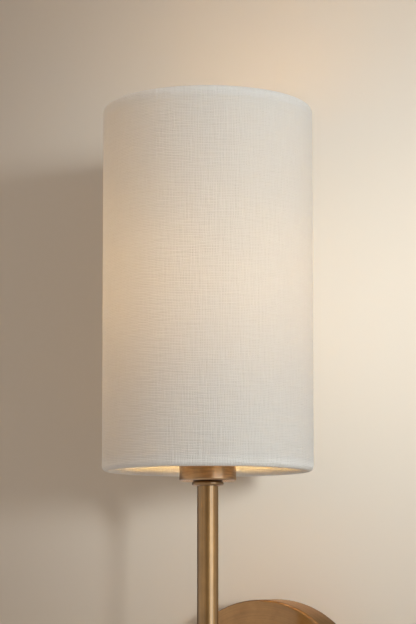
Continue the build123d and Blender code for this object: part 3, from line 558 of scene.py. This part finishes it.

# %% [markdown]
# ## The cloth of the shade
#
# A hard-backed shade is one strip of cloth. It goes round once and laps over itself at the wall side, and its
# long edges are rolled round the two rim wires and glued down inside. The sheet is drawn as rows of points:
# each row is one place on the strip's outline, from the glued edge inside the lower hem, round the lower wire,
# up the wall, and round the upper wire. Each row goes once round the shade. The sizes come from the imported
# model's pieces, so the mesh stays on the CAD's cloth.

# %% The strip's outline

low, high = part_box("shade_fabric")
wire_low, wire_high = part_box("shade_bottom_ring")
SHADE_R = (high.x - low.x) / 2
LOW_WIRE_Z = (wire_low.z + wire_high.z) / 2
HIGH_WIRE_Z = low.z + high.z - LOW_WIRE_Z
HEM_R = LOW_WIRE_Z - low.z
HEM_CENTRE_R = SHADE_R - HEM_R
LINER_INSIDE_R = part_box("shade_liner")[1].x - 0.5 * MM
GLUED_EDGE = 1.2 * MM
TUCK_R = LINER_INSIDE_R - 0.35 * MM  # where the turned-in edge lies on the liner
HEM_STEPS, HEM_WRAP = 14, 232  # points round each wire, and degrees that they cover
WALL_ROWS = 48


def hem_points(wire_z, outwards):
    """Outline of one hem from the wall's end inwards: round the wire, then up the liner's face."""
    points = []
    for step in range(1, HEM_STEPS + 1):
        angle = math.radians(step / HEM_STEPS * HEM_WRAP)
        points.append((HEM_CENTRE_R + HEM_R * math.cos(angle), wire_z + outwards * HEM_R * math.sin(angle)))
    last_r, last_z = points[-1]
    points.append(((last_r + TUCK_R) / 2, last_z - outwards * 0.5 * GLUED_EDGE))
    points.append((TUCK_R, last_z - outwards * GLUED_EDGE))
    return points


wall = [
    (SHADE_R, LOW_WIRE_Z + (HIGH_WIRE_Z - LOW_WIRE_Z) * row / WALL_ROWS) for row in range(WALL_ROWS + 1)
]
strip = hem_points(LOW_WIRE_Z, -1)[::-1] + wall + hem_points(HIGH_WIRE_Z, 1)
print("outline of the strip:", len(strip), "points, shade radius", round(SHADE_R / MM, 2), "mm")

# %% [markdown]
# ## From outline to sheet
#
# The lap needs a fold that stands proud: points within the lap move outwards by the cloth's thickness, with a
# sharp step at the turned edge and a long ramp on the other side. The hems are pulled by hand, so they get a
# slow unevenness of a tenth of a millimetre or so. The UV map holds the flat cloth: metres round and metres
# along the outline.

# %% Make the cloth

CLOTH_T = 0.7 * MM
SEAM_ANGLE = math.radians(90)
LAP = 10 * MM
ROUND_STEPS = 240
STEP, SLOPE = 0.3 * MM, 3 * MM  # half the width of the lap's sharp side, and the width of its long side
HEM_WAVE, HEM_REACH = 0.05 * MM, 7 * MM  # height of the hems' unevenness, and how far from the wire it goes


def lap_rise(angle):
    """How far the cloth stands out at this angle, because it lies over its own first edge."""
    arc = ((angle - SEAM_ANGLE + math.pi) % (2 * math.pi) - math.pi) * SHADE_R + LAP / 2
    if arc < -STEP or arc > LAP + SLOPE:
        return 0.0
    if arc < STEP:
        return CLOTH_T * (arc + STEP) / (2 * STEP)
    if arc < LAP:
        return CLOTH_T
    return CLOTH_T * (1 - (arc - LAP) / SLOPE)


def hem_unevenness(angle, z):
    """A slow waviness near the rims only."""
    near = max(0.0, 1 - min(abs(z - LOW_WIRE_Z), abs(z - HIGH_WIRE_Z)) / HEM_REACH)
    side = 1 if z > (LOW_WIRE_Z + HIGH_WIRE_Z) / 2 else -1
    wave = math.sin(11 * angle + side) + 0.6 * math.sin(29 * angle + 2 * side) + 0.4 * math.sin(47 * angle)
    return HEM_WAVE * near * wave


def sheet_angles():
    """Angles round the shade: even steps, and closer ones at the lap."""
    angles = [math.tau * step / ROUND_STEPS for step in range(ROUND_STEPS)]
    start = SEAM_ANGLE - LAP / 2 / SHADE_R
    angles += [start + arc / SHADE_R for arc in (-STEP, 0.0, STEP, LAP, LAP + SLOPE / 2, LAP + SLOPE)]
    return sorted(angles)


def make_cloth():
    """One open sheet, joined to itself at the lap."""
    angles = sheet_angles()
    mesh = bmesh.new()
    flat_map = mesh.loops.layers.uv.new("cloth")
    runs = [0.0]
    for (r0, z0), (r1, z1) in zip(strip, strip[1:]):
        runs.append(runs[-1] + math.hypot(r1 - r0, z1 - z0))
    rows = []
    for radius, z in strip:
        row = []
        outer = radius > HEM_CENTRE_R
        for angle in angles:
            rise = hem_unevenness(angle, z) + (lap_rise(angle) if outer else 0.0)
            r = radius + rise
            row.append(mesh.verts.new((r * math.cos(angle), STEM_AXIS[1] + r * math.sin(angle), z)))
        rows.append(row)
    for index, (row, above) in enumerate(zip(rows, rows[1:])):
        for step in range(len(angles)):
            after = (step + 1) % len(angles)
            face = mesh.faces.new((row[step], row[after], above[after], above[step]))
            face.smooth = True
            left, right = angles[step], angles[after] if after else math.tau + angles[0]
            corners = ((left, index), (right, index), (right, index + 1), (left, index + 1))
            for loop, (angle, height) in zip(face.loops, corners):
                loop[flat_map].uv = (angle * SHADE_R, runs[height])
    data = bpy.data.meshes.new("shade_cloth")
    mesh.to_mesh(data)
    mesh.free()
    piece = bpy.data.objects.new("shade_cloth", data)
    bpy.context.collection.objects.link(piece)
    return piece, runs[-1]


shade_cloth, strip_width = make_cloth()
shade_cloth.data.materials.append(linen_cloth)
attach(shade_cloth, "shade")
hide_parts("shade_fabric")
print("faces in the cloth:", len(shade_cloth.data.polygons))

# %% [markdown]
# ## Threads
#
# The bulb's cap and the lampholder's sleeve are threaded, and threads are what tells a hand how they come
# apart. A thread on a round piece needs no boolean: take a grid of points round the piece and up it, and let
# the radius follow a wave that climbs one pitch in each turn. The wave fades out at both ends, as a rolled
# thread does.

# %% Threaded sleeves


def new_piece(name, mesh, body, material):
    """A finished mesh as an object that rides on a body."""
    data = bpy.data.meshes.new(name)
    bmesh.ops.recalc_face_normals(mesh, faces=mesh.faces)
    for face in mesh.faces:
        face.smooth = True
    mesh.to_mesh(data)
    mesh.free()
    data.materials.append(material)
    piece = bpy.data.objects.new(name, data)
    bpy.context.collection.objects.link(piece)
    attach(piece, body)
    return piece


def thread_wave(angle, z, start, end, pitch):
    """From 0 in the root of the thread to 1 on its crest, fading out at the ends."""
    wave = 0.5 + 0.5 * math.cos(math.tau * z / pitch - angle)
    fade = min(1.0, max(0.0, (z - start) / pitch * 1.5), max(0.0, (end - z) / pitch * 1.5))
    return 1 - (1 - wave) * fade


def threaded_sleeve(mesh, outer, inner, heights, around=72):
    """Adds a round sleeve on the stem's axis. outer and inner give a radius from angle and height."""
    rings = []
    for radius_at, rows in ((outer, heights), (inner, heights[::-1])):
        for z in rows:
            ring = []
            for step in range(around):
                angle = math.tau * step / around
                r = radius_at(angle, z)
                ring.append(mesh.verts.new((r * math.cos(angle), STEM_AXIS[1] + r * math.sin(angle), z)))
            rings.append(ring)
    for ring, after in zip(rings, rings[1:] + rings[:1]):
        for step in range(around):
            beside = (step + 1) % around
            mesh.faces.new((ring[step], ring[beside], after[beside], after[step]))


def levels(start, end, count):
    """Even heights from start to end."""
    return [start + (end - start) * step / count for step in range(count + 1)]


CAP_PITCH = 3.63 * MM
CAP_THREAD = (189.0 * MM, 202.0 * MM)
CAP_DEPTH, CAP_WALL = 0.9 * MM, 0.38 * MM
CAP_ROWS, SKIRT_ROWS, SHELL_ROWS = 60, 110, 44  # rings of points from end to end
cap_low, cap_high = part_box("bulb_cap")
CAP_R = (cap_high.x - cap_low.x) / 2


def cap_radius(angle, z):
    """Outside of the bulb's rolled thread."""
    return CAP_R - CAP_DEPTH * (1 - thread_wave(angle, z, *CAP_THREAD, CAP_PITCH))


mesh = bmesh.new()
threaded_sleeve(
    mesh, cap_radius, lambda angle, z: cap_radius(angle, z) - CAP_WALL, levels(cap_low.z, cap_high.z, CAP_ROWS)
)
bulb_thread = new_piece("bulb_cap_thread", mesh, "bulb", nickel_cap)
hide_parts("bulb_cap")
print("bulb thread:", round((CAP_THREAD[1] - CAP_THREAD[0]) / CAP_PITCH, 1), "turns of", CAP_PITCH / MM, "mm")

# %% The lampholder's threaded sleeve

skirt_low, skirt_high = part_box("holder_skirt")
SKIRT_R = (skirt_high.x - skirt_low.x) / 2
SKIRT_WALL = 2.2 * MM
SKIRT_PITCH, SKIRT_DEPTH = 2.5 * MM, 0.55 * MM
SKIRT_THREAD = (187.0 * MM, 212.5 * MM)


def skirt_radius(angle, z):
    """Outside of the lampholder's sleeve, threaded for the clamp ring."""
    return SKIRT_R - SKIRT_DEPTH * (1 - thread_wave(angle, z, *SKIRT_THREAD, SKIRT_PITCH))


mesh = bmesh.new()
threaded_sleeve(
    mesh, skirt_radius, lambda angle, z: SKIRT_R - SKIRT_WALL, levels(skirt_low.z, skirt_high.z, SKIRT_ROWS)
)
skirt_thread = new_piece("holder_skirt_thread", mesh, "wall_fixture", holder_resin)
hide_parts("holder_skirt")
print("sleeve thread:", round((skirt_high.z - SKIRT_THREAD[0]) / SKIRT_PITCH, 1), "turns")

# %% [markdown]
# ## The thread inside the brass shell
#
# With the bulb out, one looks into the shell that takes its cap. Its thread is the same wave, 0.28 mm further
# out than the bulb's, so that the two lie in each other without touching. Only the ridge is new: the shell
# itself is a CAD node and stays.

# %% A ridge that winds up the shell's bore

shell_low, shell_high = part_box("holder_screw_shell")
SHELL_WALL = 0.4 * MM
SHELL_BORE_R = (shell_high.x - shell_low.x) / 2 - SHELL_WALL
THREAD_GAP = 0.28 * MM
END_GAP = 0.3 * MM
RIDGE_BACK, RIDGE_ROOT = 0.005 * MM, 0.02 * MM  # how far inside the bore the ridge's back and root lie


def ridge_radius(angle, z):
    """Inside of the shell's thread."""
    return min(SHELL_BORE_R - RIDGE_ROOT, cap_radius(angle, z) + THREAD_GAP)


mesh = bmesh.new()
threaded_sleeve(
    mesh,
    lambda angle, z: SHELL_BORE_R - RIDGE_BACK,
    ridge_radius,
    levels(CAP_THREAD[0] + END_GAP, CAP_THREAD[1] - END_GAP, SHELL_ROWS),
)
new_piece("holder_shell_thread", mesh, "wall_fixture", plain_brass)
print("shell bore radius", round(SHELL_BORE_R / MM, 2), "mm")

# %% [markdown]
# ## Screws with slots
#
# A screw head without a slot looks like a rivet. Each head is turned from a half outline, and its slot is cut
# with a boolean, which is applied at once so that the piece is a plain mesh. A shank's thread is drawn as
# ridges in the same half outline.

# %% Turn, place and slot a screw

RIDGE = 0.3 * MM  # depth of the thread on a shank
SIDE_TURN, SMALL_TURN = 0.5, 0.7  # how far the slots are turned, in radians


def turned_mesh(mesh, outline, around=40):
    """Adds a solid turned about Z from a half outline of (radius, height), first and last on the axis."""
    turns = [math.tau * step / around for step in range(around)]
    rings = []
    for r, z in outline:
        points = [(r * math.cos(turn), r * math.sin(turn), z) for turn in turns] if r > 0 else [(0, 0, z)]
        rings.append([mesh.verts.new(point) for point in points])
    for ring, after in zip(rings, rings[1:]):
        for step in range(around):
            corners = [ring[step % len(ring)], ring[(step + 1) % len(ring)]]
            corners += [after[(step + 1) % len(after)], after[step % len(after)]]
            unique = list(dict.fromkeys(corners))
            mesh.faces.new(unique)


def screw_outline(shank_d, shank_len, head_d, head_h, pitch):
    """Half outline of a pan-head screw, seat at height 0, with its thread drawn as ridges."""
    outline = [(0, -shank_len)]
    z = -shank_len
    while z < -pitch:
        outline += [(shank_d / 2 - RIDGE, z), (shank_d / 2, z + pitch / 2)]
        z += pitch
    outline += [(shank_d / 2 - RIDGE, z), (shank_d / 2 - RIDGE, 0), (head_d / 2, 0)]
    rise = head_h * 0.6
    for step in range(7):
        angle = math.radians(90 * step / 6)
        outline.append((head_d / 2 - rise + rise * math.cos(angle), head_h - rise + rise * math.sin(angle)))
    return outline + [(0, head_h)]


def slotted_screw(name, place, outline, head_d, head_h, slot, turn, body, material):
    """One screw at a place given as a matrix, with a slot of (width, depth)."""
    mesh = bmesh.new()
    turned_mesh(mesh, outline)
    screw = new_piece(name, mesh, body, material)
    cutter_mesh = bmesh.new()
    bmesh.ops.create_cube(cutter_mesh, size=1.0)
    data = bpy.data.meshes.new("cutter")
    cutter_mesh.to_mesh(data)
    cutter_mesh.free()
    cutter = bpy.data.objects.new("cutter", data)
    bpy.context.collection.objects.link(cutter)
    cutter.matrix_world = (
        Matrix.Rotation(turn, 4, "Z")
        @ Matrix.Translation((0, 0, head_h))
        @ Matrix.Diagonal((head_d * 1.5, slot[0], slot[1] * 2, 1))
    )
    bpy.context.view_layer.update()
    cut = screw.modifiers.new("slot", "BOOLEAN")
    cut.operation, cut.object, cut.solver = "DIFFERENCE", cutter, "EXACT"
    bpy.context.view_layer.update()
    made = bpy.data.meshes.new_from_object(screw.evaluated_get(bpy.context.evaluated_depsgraph_get()))
    screw.modifiers.clear()
    old, screw.data = screw.data, made
    bpy.data.meshes.remove(old)
    bpy.data.objects.remove(cutter)
    screw.data.transform(place)
    return screw


# %% The screws at the wall

PLATE_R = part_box("canopy")[1].x
SIDE_OUT = -9 * MM  # the side screws sit this far in front of the wall
SIDE_HEAD_D, SIDE_HEAD_H = 9 * MM, 3 * MM
SIDE_SHANK_D, SIDE_SHANK_LEN, SIDE_PITCH = 4 * MM, 8 * MM, 0.7 * MM
SIDE_SLOT = (1.1 * MM, 1.2 * MM)
SEAT_GAP = 0.05 * MM
side_outline = screw_outline(SIDE_SHANK_D, SIDE_SHANK_LEN, SIDE_HEAD_D, SIDE_HEAD_H, SIDE_PITCH)
for name, side in (("plate_screw_right", 1), ("plate_screw_left", -1)):
    seat = Matrix.Translation((side * (PLATE_R + SEAT_GAP), SIDE_OUT, 0))
    place = seat @ Matrix.Rotation(side * math.pi / 2, 4, "Y")
    slotted_screw(
            name, place, side_outline, SIDE_HEAD_D, SIDE_HEAD_H, SIDE_SLOT, SIDE_TURN * side,
            "wall_fixture", spun_bronze,
        )
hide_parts("canopy_side_screws")
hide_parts("canopy_side_screws")

# %% Screws of the terminal block and the earth point

TOWARDS_ROOM = Matrix.Rotation(math.pi / 2, 4, "X")
SLOT_DEPTH = 1.0 * MM
small_screws = (  # name, CAD node, then in mm: shank, head, height of the head, slot and pitch
    ("block_screw", "terminal_block_screw", 3.0, 5.0, 1.8, 0.8, 0.5),
    ("earth_point_screw", "earth_screw", 4.0, 7.0, 2.4, 1.0, 0.7),
)
for name, node, shank_d, head_d, head_h, slot_w, pitch in small_screws:
    near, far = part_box(node)
    length = (far.y - near.y) - head_h * MM
    seat = Matrix.Translation(((near.x + far.x) / 2, near.y + head_h * MM, (near.z + far.z) / 2))
    one = slotted_screw(
        name, seat @ TOWARDS_ROOM, screw_outline(shank_d * MM, length, head_d * MM, head_h * MM, pitch * MM),
        head_d * MM, head_h * MM, (slot_w * MM, SLOT_DEPTH), SMALL_TURN, "wall_fixture",
        zinc_steel,
    )
    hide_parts(node)
    print(name, "shank", round(length / MM, 1), "mm")

# %% [markdown]
# ## The studio
#
# The light hangs on a wall, so a pale wall stands behind it and a pale floor lies a metre and a half below.
# The wall must not hide the light when one looks from behind. Its back faces are transparent, it throws no
# shadow, and it isn't seen by metal or by diffuse light, so the space behind the plate is lit as freely as the
# front.

# %% Wall and floor


def plain_plane(name, corners, material):
    """One flat face of the studio."""
    data = bpy.data.meshes.new(name)
    data.from_pydata(corners, [], [(0, 1, 2, 3)])
    data.materials.append(material)
    plane = bpy.data.objects.new(name, data)
    bpy.context.collection.objects.link(plane)
    return plane


def seen_rays(tree):
    """1 for camera, glossy and transmission rays, which show the studio and don't light it."""
    path = add(tree, "LightPath").outputs
    seen = maths(tree, "MAXIMUM", path["Is Camera Ray"], path["Is Glossy Ray"])
    return maths(tree, "MAXIMUM", seen, path["Is Transmission Ray"])


def one_sided_paint(name, code, lift=0.0):
    """Matt paint that is seen from its front only. lift makes it paler where it is seen."""
    material, tree = new_finish(name)
    matt = add(tree, "BsdfDiffuse", {"Color": linear(code), "Roughness": 0.5})
    strength = maths(tree, "MULTIPLY", seen_rays(tree), lift)
    pale = add(tree, "Emission", {"Color": linear(code), "Strength": strength})
    paint = add(tree, "AddShader", {0: matt.outputs[0], 1: pale.outputs[0]})
    away = add(tree, "BsdfTransparent")
    behind = add(tree, "NewGeometry").outputs["Backfacing"]
    one_sided = add(tree, "MixShader", {0: behind, 1: paint.outputs[0], 2: away.outputs[0]})
    add(tree, "OutputMaterial", {"Surface": one_sided.outputs[0]})
    return material


wall_paint = one_sided_paint("studio_wall", "#E3D8C5")
floor_paint = one_sided_paint("studio_floor", "#EFEBE4", lift=0.32)

WALL_HALF, FLOOR_HALF, FLOOR_Z, WALL_TOP, WALL_GAP = 4.0, 6.0, -1.5, 3.0, 0.4 * MM
studio_wall = plain_plane(
    "studio_wall",
    [
        (side * WALL_HALF, WALL_GAP, level)
        for side, level in ((-1, FLOOR_Z), (1, FLOOR_Z), (1, WALL_TOP), (-1, WALL_TOP))
    ],
    wall_paint,
)
studio_wall.visible_shadow = studio_wall.visible_diffuse = studio_wall.visible_glossy = False
plain_plane(
    "studio_floor",
    [(x * FLOOR_HALF, y * FLOOR_HALF, FLOOR_Z) for x, y in ((-1, -1), (1, -1), (1, 1), (-1, 1))],
    floor_paint,
)
print("wall faces the room:", studio_wall.data.polygons[0].normal.y < 0)

# %% [markdown]
# ## Lamps and world
#
# The key is one soft window-like lamp at the right, 70 degrees round from the wall's front and taller than
# wide. It gives the pale line on the stem and the light side of the shade. A weaker and warmer lamp high at
# the left keeps the dark side open. The wall has a spot of its own, which lights nothing else and makes the
# oval pool beside the shade, and the other lamps and the bulb leave the wall alone. Stem, bead, hub and arm
# throw no shadow from the spot. The strengths and tints were fitted to the picture.
#
# The world fills the rest. What the camera and glass see of it is paler than what lights the object, so the
# background stays pale without more light on the linen. Reflections show a third version: bands of light and
# dark all round, which stand for a room with windows, since polished metal shows mostly what is round it.

# %% The world

ROOM_LIGHT = ((0.0, "#7B7472"), (0.5, "#BFB7B6"), (1.0, "#8F8988"))  # from straight down to straight up
ROOM_SEEN = "#DAD2C6"
ROOM_MIRRORED = (  # once round, as turns
    (0.0, "#CFC7BB"), (0.04, "#F0E6D4"), (0.24, "#F4E8D0"), (0.27, "#AA9D88"), (0.32, "#A0937F"),
    (0.37, "#D8CCB8"), (0.55, "#FAEED8"), (0.64, "#CCBEA6"), (0.71, "#94825F"), (0.76, "#8A7556"),
    (0.79, "#BD936C"), (0.85, "#BD936C"), (0.89, "#2E2A25"), (0.96, "#2E2A25"), (1.0, "#CFC7BB"),
)

world = bpy.data.worlds.new("studio")
bpy.context.scene.world = world
world.use_nodes = True
tree = world.node_tree
tree.nodes.clear()
way = add(tree, "TexCoord").outputs["Generated"]
upwards = add(tree, "SeparateXYZ", {0: way}).outputs["Z"]
room = ramp(tree, spread(tree, upwards, (-1.0, 1.0)), *ROOM_LIGHT)
compass = add(tree, "TexGradient", {"Vector": way}, gradient_type="RADIAL").outputs["Fac"]
fills = add(tree, "Background", {"Color": room, "Strength": 1.0})
shows = add(tree, "Background", {"Color": linear(ROOM_SEEN), "Strength": 1.0})
mirrored = add(tree, "Background", {"Color": ramp(tree, compass, *ROOM_MIRRORED), "Strength": 1.0})
glossy = add(tree, "LightPath").outputs["Is Glossy Ray"]
shows = add(tree, "MixShader", {0: glossy, 1: shows.outputs[0], 2: mirrored.outputs[0]})
both = add(tree, "MixShader", {0: seen_rays(tree), 1: fills.outputs[0], 2: shows.outputs[0]})
add(tree, "OutputWorld", {"Surface": both.outputs[0]})
print("bands in the mirrored room:", len(ROOM_MIRRORED))

# %% Place the lamps

SHADE_MIDDLE = Vector((0, STEM_AXIS[1], 0.24))
POOL = Vector((0.19, 0, 0.26))  # the middle of the pool of light on the wall


def aimed_lamp(name, data, target, azimuth, rise, distance):
    """Hangs a lamp so that it points at a target. Azimuth 0 stands in the room in front, 90 at the right."""
    turn = math.radians(azimuth)
    lamp = bpy.data.objects.new(name, data)
    bpy.context.collection.objects.link(lamp)
    lamp.location = target + Vector((math.sin(turn) * distance, -math.cos(turn) * distance, rise))
    lamp.rotation_euler = (target - lamp.location).to_track_quat("-Z", "Y").to_euler()
    return lamp


def soft_lamp(name, azimuth, rise, distance, size, watts, code):
    """A rectangular area lamp that points at the shade. size is its width and height."""
    data = bpy.data.lights.new(name, "AREA")
    data.shape, data.size, data.size_y = "RECTANGLE", size[0], size[1]
    data.energy, data.color = watts, linear(code)[:3]
    return aimed_lamp(name, data, SHADE_MIDDLE, azimuth, rise, distance)


key_lamp = soft_lamp("key_lamp", 70, 0.35, 1.8, (1.3, 2.0), 24.0, "#F3FDFF")
fill_lamp = soft_lamp("fill_lamp", -62, 1.8, 1.9, (1.0, 1.0), 15.4, "#FFD894")
fill_lamp.visible_glossy = False
spot = bpy.data.lights.new("wall_lamp", "SPOT")
spot.energy, spot.color = 340.0, linear("#ECF5FF")[:3]
spot.spot_size, spot.spot_blend, spot.shadow_soft_size = math.radians(14), 1.0, 0.22
wall_lamp = aimed_lamp("wall_lamp", spot, POOL, azimuth=50, rise=0.05, distance=1.5)
wall_lamp.scale = (0.72, 1.35, 1.0)  # makes the round spot an upright oval


def shine(lamps, name, state):
    """Lets lamps light only the studio wall, or all but the studio wall."""
    group = bpy.data.collections.new(name)
    group.objects.link(studio_wall)
    group.collection_objects[0].light_linking.link_state = state
    for lamp in lamps:
        lamp.light_linking.receiver_collection = group


shine([wall_lamp], "only_the_wall", "INCLUDE")
shine([key_lamp, fill_lamp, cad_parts["bulb_envelope"]], "not_the_wall", "EXCLUDE")
no_shadow = bpy.data.collections.new("no_shadow_on_the_wall")
for index, node in enumerate(("stem_tube", "stem_bead", "hub", "hub_finial", "arm_tube", "arm_collar")):
    no_shadow.objects.link(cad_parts[node])
    no_shadow.collection_objects[index].light_linking.link_state = "EXCLUDE"
wall_lamp.light_linking.blocker_collection = no_shadow
print("lamps:", [lamp.name for lamp in (key_lamp, fill_lamp, wall_lamp)])

# %% [markdown]
# ## The camera
#
# The picture was taken level, with the wall light high in the frame, so its upright lines stay parallel. A
# camera can do that with lens shift. A large shift would push the object out of the other views, so this one
# shifts a sixth of the frame and tilts up by 4.7 degrees, and its place and lens were solved again so that
# the shade, the cup, the stem and the plate fall where they do in the picture, to about a pixel. The tilt
# costs up to 1.4 pixels on each side of the shade's foot, which comes out that much too wide.

# %% Place the camera

LENS, SHIFT = 111.42, 0.17
PLACE = (0.53937, -1.11952, 0.07812)

camera_data = bpy.data.cameras.new("camera")
camera_data.sensor_fit, camera_data.sensor_width, camera_data.lens = "AUTO", 36.0, LENS
camera_data.shift_y = SHIFT
camera = bpy.data.objects.new("camera", camera_data)
bpy.context.collection.objects.link(camera)
camera.location = PLACE
yaw, pitch = math.radians(27.758), math.radians(4.684)
looking = Vector((-math.sin(yaw) * math.cos(pitch), math.cos(yaw) * math.cos(pitch), math.sin(pitch)))
camera.rotation_euler = looking.to_track_quat("-Z", "Y").to_euler()
bpy.context.scene.camera = camera
bpy.context.scene.view_settings.view_transform = "Standard"
print("camera looks along", [round(value, 3) for value in looking])
